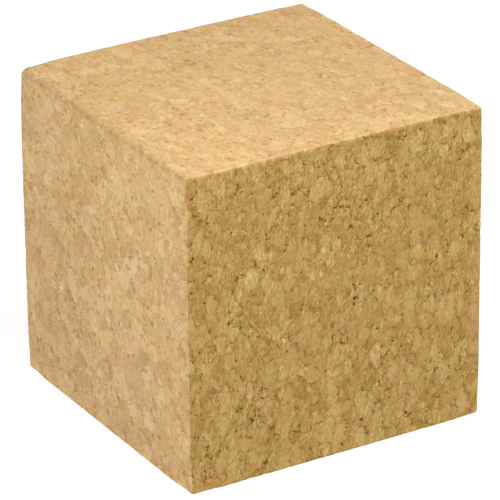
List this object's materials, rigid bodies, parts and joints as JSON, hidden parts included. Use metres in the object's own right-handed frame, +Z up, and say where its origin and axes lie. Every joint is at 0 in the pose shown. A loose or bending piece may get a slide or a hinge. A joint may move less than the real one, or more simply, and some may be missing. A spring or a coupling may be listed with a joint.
{
  "type": "sanding block",
  "caption": "Hand-held cubic sanding block of agglomerated cork with six flat working faces and lightly eased edges.",
  "frame": {"origin": "centre of the underside, the flat face that the block rests on", "axes": "+Z up through the top face, -Y out of the front face, +X out of the right face"},
  "size_m": [0.075, 0.075, 0.075],
  "materials": {
    "cork": "matt bonded cork granules, warm tan with darker crevices and reddish-brown flecks"
  },
  "bodies": {
    "root": {"cork_block": "cork"}
  },
  "joints": []
}
